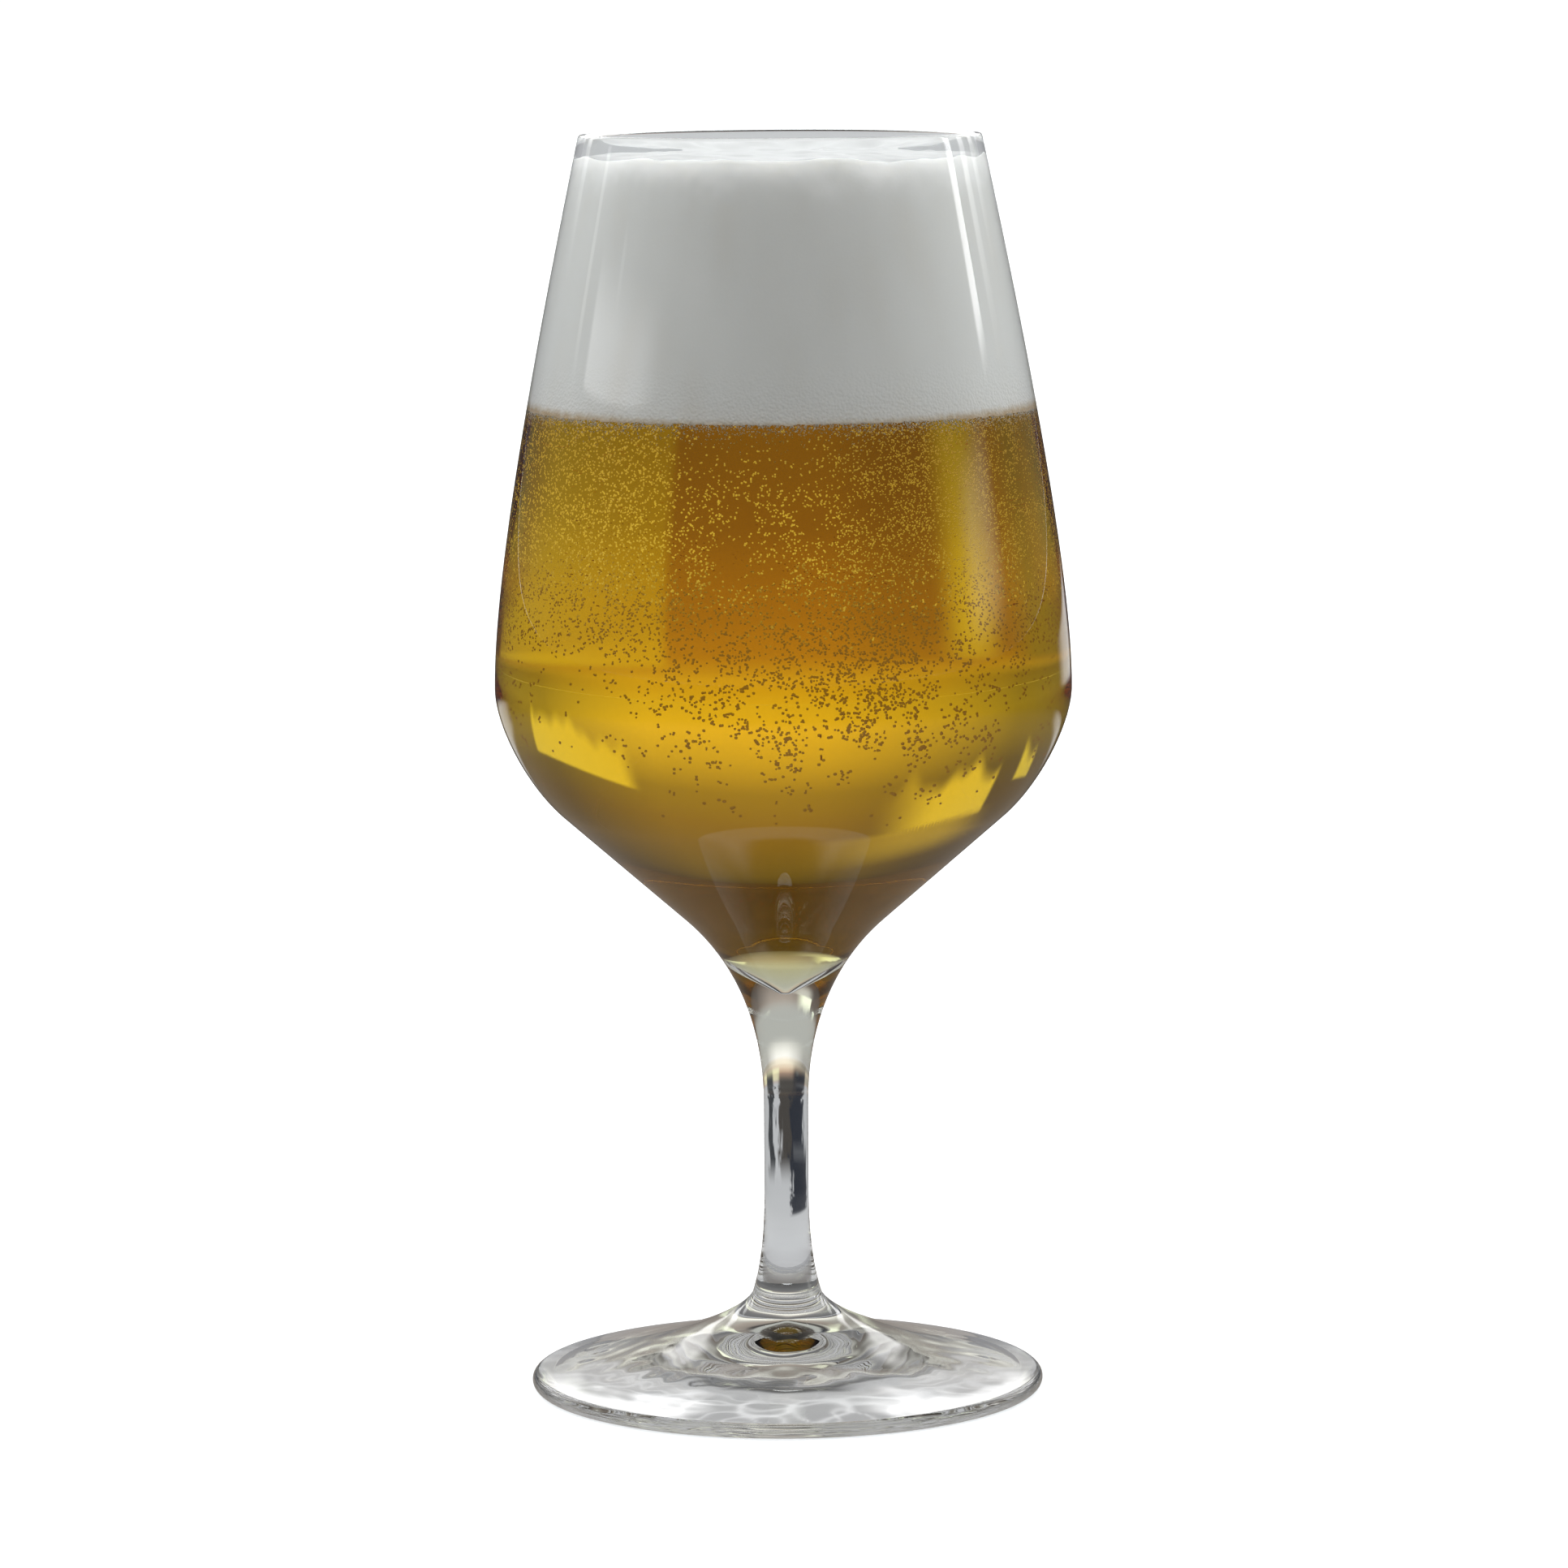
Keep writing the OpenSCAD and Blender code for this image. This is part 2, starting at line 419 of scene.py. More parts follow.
# %% [markdown]
# ## The stem
#
# A stem is drawn out of the hot glass, which leaves faint streaks along it. They are about a hundredth of a
# millimetre deep, but a glass rod is a strong lens, and they break up what is seen through it.

# %% Stem
FLARE_STEPS = 36
WAIST_STEPS = 8
STEM_TOP_STEPS = 20
STEM_COLUMNS = 128
STREAK_DEPTH = 0.01 * MM
STREAKS = ((1, 2.6 * MM, 0.12, 5), (0.6, 5 * MM, 0.3, 6))


def drawn_streaks(points):
    """Moves the waist in and out by ripples that are drawn out along the stem."""
    waist = ease(points[:, 2], JOINT_Z, WAIST_LOW_Z) * (1 - ease(points[:, 2], WAIST_TOP_Z, SEAM_Z))
    wave = sum(share * ripples(points * (1, 1, draw), size, seed) for share, size, draw, seed in STREAKS)
    growth = STREAK_DEPTH * wave * waist / np.maximum(around_axis(points), STEM_R / 2)
    return points * (1 + np.outer(growth, (1, 1, 0)))


stem_outline = join(
    [[0, JOINT_Z]],
    cubic(flare_curve, FLARE_STEPS),
    np.linspace(waist_low, waist_top, WAIST_STEPS + 1),
    cubic(neck_curve, STEM_TOP_STEPS, 0, SEAM_SHARE),
    [[0, SEAM_Z]],
)
stem = turned("stem_glass", stem_outline, STEM_COLUMNS, [(0, 1), (-1, 1)], drawn_streaks)
finish_piece(stem, "stem", "clear_glass", GLASS, FUSED)

# %% [markdown]
# ## The foot
#
# The foot is pressed flat while soft: a round edge, a face that sweeps up to the stem, and a shallow
# hollow below, so that the glass stands on a ring and does not rock. Both faces keep soft waves from the
# pressing, and the upper one faint rings from the turning.

# %% Outline of the foot
FOOT_EDGE = 2.2 * MM
FOOT_RING = 2.0 * MM
FOOT_HOLLOW = 6.5 * MM
HOLLOW_ROUNDNESS = 1.2
FOOT_RISE = math.radians(61)
EDGE_RISE = math.radians(8.3)
FOOT_SHARES = (0.27, 0.18)
EDGE_STEPS = 20
FOOT_STEPS = 80
FOOT_COLUMNS = 256

edge_middle = np.array([FOOT_R - FOOT_EDGE / 2, FOOT_EDGE / 2])
edge_round = arc(edge_middle, FOOT_EDGE / 2, -QUARTER, QUARTER - EDGE_RISE, EDGE_STEPS)
foot_reach = edge_middle[0] - JOINT_R
along_edge = heading(math.pi - EDGE_RISE)
along_foot = heading(math.pi - FOOT_RISE)
foot_curve = handles(edge_round[-1], along_edge, joint, along_foot, foot_reach, FOOT_SHARES)
ring_in = edge_middle[0] - FOOT_RING


def hollow_height(r):
    """Height of the face under the foot: a cone with a soft tip, down to the table at the ring."""
    return FOOT_HOLLOW * (1 - np.clip(r / ring_in, 0, 1) ** HOLLOW_ROUNDNESS)


hollow_r = np.linspace(0, ring_in, FOOT_STEPS + 1)
hollow = np.stack([hollow_r, hollow_height(hollow_r)], axis=1)
foot_outline = join(hollow, edge_round, cubic(foot_curve, FOOT_STEPS), [[0, JOINT_Z]])
print("outline of the foot: %d points" % len(foot_outline))

# %% Foot, with the waves of its pressing
PRESSED_WAVES = ((1, 9 * MM, 3), (0.5, 4 * MM, 4))
UNDER_LIFT = 0.008 * MM
UPPER_LIFT = 0.009 * MM
RING_WAVE = 3.6 * MM
RING_LIFT = 0.006 * MM
RING_LIMP = 4 * MM
SAME_FACE = 0.01 * MM
STILL_BY_STEM = (JOINT_R + 1 * MM, JOINT_R + 4 * MM)
STILL_BY_RING = (ring_in - 3 * MM, ring_in)


def pressed_unevenness(points):
    """Lifts both faces of the foot by about a hundredth of a millimetre, in soft random waves."""
    r = around_axis(points)
    under = np.abs(points[:, 2] - hollow_height(r)) < SAME_FACE
    inner = ease(r, *STILL_BY_STEM) * (1 - ease(r, *STILL_BY_RING))
    turn_way = points[:, :2] / np.maximum(r, MM)[:, None]
    rings = ripples(np.column_stack([r, RING_LIMP * turn_way]), RING_WAVE, 7)
    lift = np.where(under, UNDER_LIFT, UPPER_LIFT) * swell(points, *PRESSED_WAVES)
    lift = lift + np.where(under, 0.0, RING_LIFT) * rings
    return points + np.outer(lift * inner, (0, 0, 1))


foot = turned("foot_glass", foot_outline, FOOT_COLUMNS, [(-1, 1)], pressed_unevenness)
finish_piece(foot, "foot", "clear_glass", GLASS, FUSED)

# %% [markdown]
# ## The beer
#
# The beer wets the glass, with no air between. Its mesh reaches a hair into the wall, so that light leaves
# the glass and enters the beer at one place.

# %% Beer
CONTACT = 0.03 * MM

beer_side = inside[inside[:, 1] < BEER_Z]
beer_side = np.concatenate([beer_side, [[inside_radius(BEER_Z), BEER_Z]]])
beer_side[1:, 0] += CONTACT
beer_side[0, 1] -= CONTACT
beer_outline = join(beer_side, [[0, BEER_Z]])
beer = turned("beer_body", beer_outline, BOWL_COLUMNS)
finish_piece(beer, "beer", "amber_beer", BEER)

# %% [markdown]
# ## The finish of the foam
#
# Foam is a heap of tiny cells that scatter light, so it is white, soft and a little translucent: a rough
# Principled shader with some subsurface light. A value on the mesh, its froth, says how dry the foam is and
# carries some painted light and shade as well: white and dry above, brown and soaked at its foot. The top of
# the crown has far darker colours than the sides. This is painted shade, which keeps the top from burning out
# under the light from above. The grain of the cells grows downwards, where they are larger. Some light
# filters down through the foam, and its underside is painted with a faint glow that stands for that light.

# %% Finishes of the foam
FOAM_STOPS = (
    (0.00, (0.36, 0.20, 0.03)),
    (0.25, (0.58, 0.53, 0.45)),
    (0.50, (0.72, 0.725, 0.705)),
    (1.00, (0.95, 0.95, 0.945)),
)
# The crown's colours are painted shade: much darker than the sides, against the strong light from above.
CROWN_PAINTED_SHADE_STOPS = ((0.3, (0.22, 0.22, 0.215)), (0.9, (0.28, 0.28, 0.275)))
# Colours of the painted glow under the foam.
UNDERSIDE_GLOW_STOPS = ((0.3, (0.14, 0.145, 0.13)), (0.7, (0.18, 0.185, 0.165)))
GRAIN_TOP_Z = BEER_Z + 8 * MM


def foam_finish(name, stops):
    """Beer foam: its colour follows the mesh's froth value, and its grain of cells grows downwards."""
    material, add = new_material(name)
    froth = add("Attribute")
    froth.attribute_name = "froth"
    tone = add_ramp(add, froth.outputs["Fac"], stops)
    place = add("TexCoord").outputs["Object"]
    cells = add("TexVoronoi", Vector=place, Scale=2700.0)
    cells.feature = "SMOOTH_F1"
    level = add("SeparateXYZ", place).outputs["Z"]
    grain = add("MapRange", level, From_Min=BEER_Z, From_Max=GRAIN_TOP_Z, To_Min=0.6, To_Max=0.05)
    bump = add("Bump", Strength=grain, Distance=0.16 * MM, Height=cells.outputs["Distance"])
    foam = add(
        "BsdfPrincipled", Base_Color=tone, Roughness=0.6, Normal=bump, Specular_IOR_Level=0.1,
        Subsurface_Weight=0.5, Subsurface_Radius=(1.0, 0.97, 0.9), Subsurface_Scale=2 * MM,
    )
    add("OutputMaterial", foam)
    return material


def foam_underside_glow():
    """The face under the foam: a painted glow for the light filtered down through it, uneven over its cells.
    """
    material, add = new_material("foam_underside_glow")
    cells = add("TexNoise", Vector=add("TexCoord").outputs["Object"], Scale=400.0)
    tone = add_ramp(add, cells.outputs["Fac"], UNDERSIDE_GLOW_STOPS)
    add("OutputMaterial", add("Emission", tone))
    material.cycles.emission_sampling = "NONE"
    return material


FOAM = foam_finish("beer_foam", FOAM_STOPS)
# The crown's finish carries painted shade, darker than the sides.
SHADED_CROWN = foam_finish("foam_crown", CROWN_PAINTED_SHADE_STOPS)
UNDERSIDE_GLOW = foam_underside_glow()

# %% [markdown]
# ## The head of foam
#
# The foam presses against the glass, so its side follows the inner face a hair outside it. Its top is a low
# crown of soft lumps, and its lower edge is frayed where the last bubbles have not yet joined it.

# %% Shape of the foam
PRESS = 2 * CONTACT
FOAM_EDGE_Z = RIM_Z - 3.2 * MM
FOAM_FOOT_Z = BEER_Z - 0.3 * MM
SIDE_STEPS = 90
CROWN_STEPS = 60
FOAM_COLUMNS = 384
LUMPY_DEPTH = 2 * MM
FRAYED_HEIGHT = 1.5 * MM
CROWN_LUMPS = ((0.12 * MM, 9 * MM, 11), (0.06 * MM, 3.5 * MM, 12))
FOOT_FRAYS = ((0.06 * MM, 2.2 * MM, 13), (0.05 * MM, 0.9 * MM, 14))

crown_rise = foam_high.z - FOAM_EDGE_Z
foam_levels = np.linspace(FOAM_FOOT_Z, FOAM_EDGE_Z, SIDE_STEPS + 1)
foam_side = np.stack([inside_radius(foam_levels) + PRESS, foam_levels], axis=1)
foam_edge_r = foam_side[-1, 0]
crown_r = np.linspace(foam_edge_r, 0, CROWN_STEPS + 1)
crown = np.stack([crown_r, FOAM_EDGE_Z + crown_rise * (1 - (crown_r / foam_edge_r) ** 2)], axis=1)
foam_outline = join([[0, FOAM_FOOT_Z]], foam_side, crown)


def soft_lumps(points):
    """Lifts the crown and frays the lower edge by random waves, then slides the side along the glass."""
    x, y, z = points.T
    top = ease(z, FOAM_EDGE_Z - LUMPY_DEPTH, FOAM_EDGE_Z)
    low = 1 - ease(z, FOAM_FOOT_Z, FOAM_FOOT_Z + FRAYED_HEIGHT)
    new_z = z + top * swell(points, *CROWN_LUMPS) + low * swell(points, *FOOT_FRAYS)
    slide = inside_radius(new_z) / inside_radius(z)
    return np.stack([x * slide, y * slide, new_z], axis=1)


crown_bands = slice(len(foam_side), None)
foam = turned("foam_crown", foam_outline, FOAM_COLUMNS, [(0, 1), (crown_bands, 2)], soft_lumps)
finish_piece(foam, "foam_head", "foam", FOAM, UNDERSIDE_GLOW, SHADED_CROWN)

# %% [markdown]
# The froth value is worked out for each vertex. It rises towards the top in a band that is partly the
# whiter dry foam and partly painted light from above. It falls a little just under the edge, as painted shade
# that keeps the edge from burning out. It also falls off at the foot, where beer soaks in. The soaked edge
# climbs at the two sides, as a liquid does against a wall.

# %% How dry the foam is, with the light and shade painted on it, from its foot to its top
FLUFF_WAVES = ((0.7 * MM, 6 * MM, 15), (0.3 * MM, 2 * MM, 16))
BAND_LOW_Z = FOAM_EDGE_Z - 7 * MM
BAND_HIGH_Z = FOAM_EDGE_Z + 1.5 * MM
BAND_SHARPNESS = 1.4
BASE_FROTH = 0.5
BAND_FROTH_AND_LIGHT = 0.36
EDGE_PAINTED_SHADE = 0.45
EDGE_SHADE_BAND = (FOAM_EDGE_Z - 1.0 * MM, FOAM_EDGE_Z - 0.1 * MM)
DRIP_FROTH = 0.012
DRIP_DRAW = (1, 1, 0.12)
DRIP_WAVE = 5 * MM
SOAK_START_Z = FOAM_FOOT_Z - 0.5 * MM
SOAK_HEIGHT = 1.3 * MM
SOAK_CLIMB = 0.9 * MM
SOAK_WAVES = (0.1 * MM, 1.3 * MM, 18)
SOAKED_SHARE = 0.25

foam_points = np.empty(3 * len(foam.data.vertices), np.float32)
foam.data.vertices.foreach_get("co", foam_points)
foam_points = foam_points.reshape(-1, 3).astype(float)
foam_z = foam_points[:, 2]
# The band near the top is partly whiter dry foam and partly painted light from above. Just under the edge it
# is dimmed by painted shade.
dry_and_lit_band = ease(foam_z + swell(foam_points, *FLUFF_WAVES), BAND_LOW_Z, BAND_HIGH_Z) ** BAND_SHARPNESS
drips = ripples(foam_points * DRIP_DRAW, DRIP_WAVE, 17)
under_edge_shade = ease(foam_z, *EDGE_SHADE_BAND)
froth = BASE_FROTH + BAND_FROTH_AND_LIGHT * dry_and_lit_band * (1 - EDGE_PAINTED_SHADE * under_edge_shade) + DRIP_FROTH * drips
across = foam_points[:, 0] / np.maximum(around_axis(foam_points), MM)
soak = SOAK_START_Z + SOAK_CLIMB * across**2 + swell(foam_points, SOAK_WAVES)
froth = froth * (SOAKED_SHARE + (1 - SOAKED_SHARE) * ease(foam_z, soak, soak + SOAK_HEIGHT))
froth = froth.astype(np.float32)
foam.data.attributes.new("froth", "FLOAT", "POINT").data.foreach_set("value", froth)
print("froth from %.2f to %.2f" % (froth.min(), froth.max()))

# %% [markdown]
# ## Small balls
#
# Bubbles come in tens of thousands, so each is a ball of only 20 faces, and a group of them is one mesh.
# The corners of three golden rectangles at right angles to each other make such a ball.

# %% Helpers that make balls
GOLDEN = (1 + math.sqrt(5)) / 2
BALL_CORNERS = np.array([
    (-1, GOLDEN, 0), (1, GOLDEN, 0), (-1, -GOLDEN, 0), (1, -GOLDEN, 0),
    (0, -1, GOLDEN), (0, 1, GOLDEN), (0, -1, -GOLDEN), (0, 1, -GOLDEN),
    (GOLDEN, 0, -1), (GOLDEN, 0, 1), (-GOLDEN, 0, -1), (-GOLDEN, 0, 1),
]) / math.hypot(1, GOLDEN)
BALL_FACES = np.array([
    (0, 11, 5), (0, 5, 1), (0, 1, 7), (0, 7, 10), (0, 10, 11),
    (1, 5, 9), (5, 11, 4), (11, 10, 2), (10, 7, 6), (7, 1, 8),
    (3, 9, 4), (3, 4, 2), (3, 2, 6), (3, 6, 8), (3, 8, 9),
    (4, 9, 5), (2, 4, 11), (6, 2, 10), (8, 6, 7), (9, 8, 1),
])


def on_wall(z, turn, inset):
    """Points at heights and turns about the axis, at an inset from the bowl's inner face."""
    r = inside_radius(z) - inset
    return np.stack([r * np.cos(turn), r * np.sin(turn), z], axis=1)


def add_balls(name, centres, radii, finish):
    """A piece of many small balls, one at each centre, which rides with the glass."""
    points = centres[:, None] + radii[:, None, None] * BALL_CORNERS
    faces = np.arange(len(centres))[:, None, None] * len(BALL_CORNERS) + BALL_FACES
    piece = new_piece(name, points.reshape(-1, 3), faces.reshape(-1, 3).tolist())
    piece.data.materials.append(finish)
    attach(piece, "root")
    return piece.data.attributes


# %% [markdown]
# ## The fringe under the foam
#
# Under the foam hang bubbles that have risen along the wall and not joined it yet. They thin out with
# depth, and the deeper ones have more beer around them, so their froth value is lower.

# %% Fringe of small white bubbles under the foam
FRINGE_COUNT = 9800
FRINGE_DEPTH = 0.75 * MM
FRINGE_SIZES = (0.06 * MM, 0.13 * MM)
FRINGE_INSET = 0.3
FRINGE_FROTH = 0.5
FRINGE_FADE = 1.1 * MM
FRINGE_SPREAD = (-0.12, 0.06)

rng = np.random.default_rng(21)
fringe_depth = rng.exponential(FRINGE_DEPTH, FRINGE_COUNT)
fringe_z = BEER_Z - fringe_depth
fringe_size = rng.uniform(*FRINGE_SIZES, FRINGE_COUNT)
fringe_turn = rng.uniform(0, 2 * math.pi, FRINGE_COUNT)
fringe_place = on_wall(fringe_z, fringe_turn, FRINGE_INSET * fringe_size)
fringe = add_balls("foam_fringe", fringe_place, fringe_size, FOAM)
fringe_froth = FRINGE_FROTH * np.exp(-fringe_depth / FRINGE_FADE) + rng.uniform(*FRINGE_SPREAD, FRINGE_COUNT)
fringe_froth = np.repeat(np.clip(fringe_froth, 0, 1), len(BALL_CORNERS)).astype(np.float32)
fringe.new("froth", "FLOAT", "POINT").data.foreach_set("value", fringe_froth)

# %% [markdown]
# ## Bubbles on the wall
#
# Gas comes out of the beer on the glass. The bubbles start as specks, in drifts where the glass gives them
# a hold. They are finest and closest together in the upper half, and lower down they are larger and apart.
# Thousands are drawn at random and kept by odds that change from place to place, and some of them are
# twins that have just met. Heights count as shares of the way up, and sides in degrees about the axis.

# %% Draw the bubbles and their sizes
SPECK_LOW_Z = 83 * MM
SPECK_HIGH_Z = BEER_Z - 0.4 * MM
MOST_PER_MM2 = 6.8
LOW_SIZE = 0.25 * MM
RISE_LOSS = 0.105 * MM
FINE_LOSS = 0.025 * MM
BACK_LOSS = 0.6
SIZE_SPREAD = (0.7, 1.2)
WALL_GAP = 0.02 * MM

wall_mm2 = 2 * math.pi * BELLY_R * (SPECK_HIGH_Z - SPECK_LOW_Z) / MM**2
tries = int(MOST_PER_MM2 * wall_mm2)
speck_z = rng.uniform(SPECK_LOW_Z, SPECK_HIGH_Z, tries)
speck_turn = rng.uniform(0, 2 * math.pi, tries)
height = (speck_z - SPECK_LOW_Z) / (SPECK_HIGH_Z - SPECK_LOW_Z)
side = (np.degrees(speck_turn) + 270) % 360 - 180
fine = ease(side, 5, 25) * ease(height, 0.55, 0.75)
behind = ease(np.abs(side), 80, 100)
speck_size = LOW_SIZE - RISE_LOSS * ease(height, 0.1, 0.7) - FINE_LOSS * fine
speck_size = speck_size * rng.uniform(*SIZE_SPREAD, tries) * (1 - BACK_LOSS * behind)
speck_place = on_wall(speck_z, speck_turn, speck_size + WALL_GAP)
print("%d places tried, %.1f per square mm" % (tries, MOST_PER_MM2))

# %% Keep some of them, and give some a twin
DRIFT_DRAW = (1, 1, 0.5)
DRIFT_SHARE = 0.6
LOW_ODDS = 0.07
FRONT_ODDS = 0.55
COLUMN_ODDS = 0.22
CLUSTER_ODDS = 0.16
HIGH_ODDS = 0.62
BARE_LOSS = 0.92
BACK_THINNING = 0.7
TWIN_ODDS = 0.2
TWIN_STEP = 1.4

drift = ripples(speck_place * DRIFT_DRAW, 18 * MM, 31) + ripples(speck_place, 6 * MM, 32)
drift = DRIFT_SHARE * drift
low_odds = (LOW_ODDS + FRONT_ODDS * bell(side, 14, 30)) * ease(drift, -0.6, 1.4) * ease(height, 0.02, 0.4)
low_odds = low_odds + COLUMN_ODDS * bell(side, 1, 4) * ease(height, 0.02, 0.25)
low_odds = low_odds + CLUSTER_ODDS * bell(side, 18, 11) * ease(height, 0.22, 0.42)
high_odds = (HIGH_ODDS + (1 - HIGH_ODDS) * fine) * ease(drift, -2.4, 0.6)
odds = low_odds + (high_odds - low_odds) * ease(height, 0.38, 0.62)
bare = ease(side, -32, -20) * (1 - ease(side, 2, 14)) * ease(height, 0.72, 0.97)
kept = rng.random(tries) < odds * (1 - BARE_LOSS * bare) * (1 - BACK_THINNING * behind)
twin = kept & (rng.random(tries) < TWIN_ODDS)
twin_way = rng.uniform(0, 2 * math.pi, tries)
twin_z = speck_z + TWIN_STEP * speck_size * np.sin(twin_way)
twin_turn = speck_turn + TWIN_STEP * speck_size * np.cos(twin_way) / BELLY_R
twin_place = on_wall(twin_z, twin_turn, speck_size + WALL_GAP)
print("%d bubbles kept, %d of them with a twin" % (kept.sum(), twin.sum()))

# %% [markdown]
# A bubble is a hole in the beer, so it bends light the other way and shows as a dark ring with a bright
# spot. At this size a picture shows only its mean tone, so half of the finish is a true gas ball and half
# is painted light in the mesh's own colours. There is a bright glow among the upper bubbles and painted
# shade among the lower ones, with a painted highlight on the side towards the window above.

# %% Finish of the bubbles, and the light painted on them
# Painted shade and painted shine of the bubbles, and the way from which their painted light falls.
SHADE = np.array((0.19, 0.08, 0.005))
SHINE = np.array((0.74, 0.47, 0.036))
LIGHT_WAY = np.array((-0.45, -0.2, 0.87))
GLOW_SPREAD = (0.7, 1.15)
GLOW_SHARE = 0.55
GLOW_WANDER = 0.05
GLOW_STEP = (0.54, 0.70)
MOST_GLOW = 0.9
FINE_DIMMING = 0.45
BACK_DIMMING = 0.5
HIGH_DIMMING = 0.35
HIGH_STEP = (0.75, 0.95)
LIGHT_SIDE_SHADING = 0.15
FINE_LIGHT_SIDE_SHADING = 0.45


def gas_bubble():
    """Gas in beer: half bends light as a hole in the beer does, half glows with painted light from the mesh.
    """
    material, add = new_material("gas_bubble")
    gas = add("BsdfGlass", Color=WHITE, Roughness=0.0, IOR=1 / BEER_INDEX)
    painted_light = add("Attribute")
    painted_light.attribute_name = "painted_light"
    add("OutputMaterial", add("MixShader", GLOW_SHARE, gas, add("Emission", painted_light)))
    material.cycles.emission_sampling = "NONE"
    return material


GAS = gas_bubble()
glow = ease(height + rng.normal(0, GLOW_WANDER, tries), *GLOW_STEP) * (MOST_GLOW - FINE_DIMMING * fine)
glow = glow * rng.uniform(*GLOW_SPREAD, tries)
glow = glow * (1 - BACK_DIMMING * behind) * (1 - HIGH_DIMMING * ease(height, *HIGH_STEP))
light_side_shading = LIGHT_SIDE_SHADING + FINE_LIGHT_SIDE_SHADING * fine
print("mean glow %.2f" % glow[kept].mean())


def bubble_painted_light(chosen):
    """Painted light of each corner: painted shade to shine by the bubble's glow, brighter towards the light.
    """
    level = glow[chosen, None] + light_side_shading[chosen, None] * (BALL_CORNERS @ LIGHT_WAY)
    return SHADE + (SHINE - SHADE) * np.clip(level, 0, 1)[..., None]


# %% Build the bubbles in three pieces
TWIN_SIZE = 0.85
PARTS = (("bubbles_low", 0.0, 0.58), ("bubbles_mid", 0.58, 0.78), ("bubbles_high", 0.78, 1.1))

for name, low, high in PARTS:
    part = (height >= low) & (height < high)
    singles, doubles = kept & part, twin & part
    centres = np.concatenate([speck_place[singles], twin_place[doubles]])
    radii = np.concatenate([speck_size[singles], TWIN_SIZE * speck_size[doubles]])
    # Each corner of a ball carries the bubble's painted light as a colour.
    painted_lights = np.ones((len(centres), len(BALL_CORNERS), 4), np.float32)
    painted_lights[..., :3] = np.concatenate([bubble_painted_light(singles), bubble_painted_light(doubles)])
    layers = add_balls(name, centres, radii, GAS)
    layers.new("painted_light", "FLOAT_COLOR", "POINT").data.foreach_set("color", painted_lights.ravel())

# %% [markdown]
# ## The studio
#
# Glass shows what stands around it, so the studio is built for the glass: a pale floor, a bright strip
# along the horizon, dim cards on the floor and a few soft windows. Blender can hide an object from some
# kinds of rays, so one card can serve the light that comes through the glass and another the light that
# it mirrors. Bearings are counted in degrees from straight behind the glass towards +X, reaches from the
# axis along the floor.

# %% Finishes of the lamps and cards
def tone_finish(name, lights_up, direct_only=False):
    """A glow in the sheet's own colours, clear where their cover is 0. Direct only: mirrored rays pass it."""
    material, add = new_material(name)
    tone = add("Attribute")
    tone.attribute_name = "tone"
    cover = tone.outputs["Alpha"]
    if direct_only:
        mirrorings = add("LightPath").outputs["Glossy Depth"]
        direct = add("MapRange", mirrorings, From_Min=0.0, From_Max=1.0, To_Min=1.0, To_Max=0.0)
        cover = add("Math", cover, direct)
        cover.operation = "MULTIPLY"
    add("OutputMaterial", add("MixShader", cover, add("BsdfTransparent"), add("Emission", tone)))
    material.cycles.emission_sampling = "AUTO" if lights_up else "NONE"
    return material


LAMP = tone_finish("lamp", True)
CARD = tone_finish("card", False)
DIRECT_CARD = tone_finish("direct_card", False, direct_only=True)


# %% Helper that makes a sheet
ALL_RAYS = ("camera", "diffuse", "glossy", "transmission", "shadow")
SEEN_THROUGH = ("transmission",)
MIRRORED = ("glossy", "diffuse")


def sheet(name, points, material, seen_by, colour=None, cover=None):
    """A sheet over a grid of points, which only the named kinds of rays can see."""
    rows, columns = points.shape[:2]
    i, j = np.meshgrid(np.arange(rows - 1), np.arange(columns - 1), indexing="ij")
    first = i * columns + j
    quads = np.stack([first, first + 1, first + columns + 1, first + columns], axis=2).reshape(-1, 4)
    mesh = bpy.data.meshes.new(name)
    mesh.from_pydata(points.reshape(-1, 3).tolist(), [], quads.tolist())
    mesh.materials.append(material)
    if colour is not None:
        tones = np.empty((rows, columns, 4), np.float32)
        tones[..., :3] = colour
        tones[..., 3] = cover
        mesh.attributes.new("tone", "FLOAT_COLOR", "POINT").data.foreach_set("color", tones.ravel())
    piece = bpy.data.objects.new(name, mesh)
    bpy.context.collection.objects.link(piece)
    for kind in ALL_RAYS:
        setattr(piece, "visible_" + kind, kind in seen_by)
    print("studio: %s, seen by" % name, *seen_by)


# %% Helpers for places on the floor
def ring_grid(level, near, far, rows=300, columns=541):
    """Bearings, reaches and points of a flat ring about the axis, with rows closer towards the middle."""
    bearing = np.linspace(-180, 180, columns) + np.zeros((rows, 1))
    reach = np.geomspace(near, far, rows)[:, None] + np.zeros(columns)
    a = np.radians(bearing)
    return bearing, reach, np.stack([reach * np.sin(a), reach * np.cos(a), np.full_like(a, level)], axis=2)


def patch(bearing, reach, bearings, reaches, soft_bearings, soft_reaches):
    """1 between two bearings and two reaches, easing to 0 over the soft widths at each edge."""
    spread = ease(bearing, bearings[0], bearings[0] + soft_bearings[0])
    spread = spread * (1 - ease(bearing, bearings[1] - soft_bearings[1], bearings[1]))
    along = ease(reach, reaches[0], reaches[0] + soft_reaches[0])
    return spread * along * (1 - ease(reach, reaches[1] - soft_reaches[1], reaches[1]))


def in_front(bearing, start, stop):
    """0 behind the glass and 1 in front of it: a soft step towards -Y over a ring of radius 1."""
    return ease(-np.cos(np.radians(bearing)), start, stop)


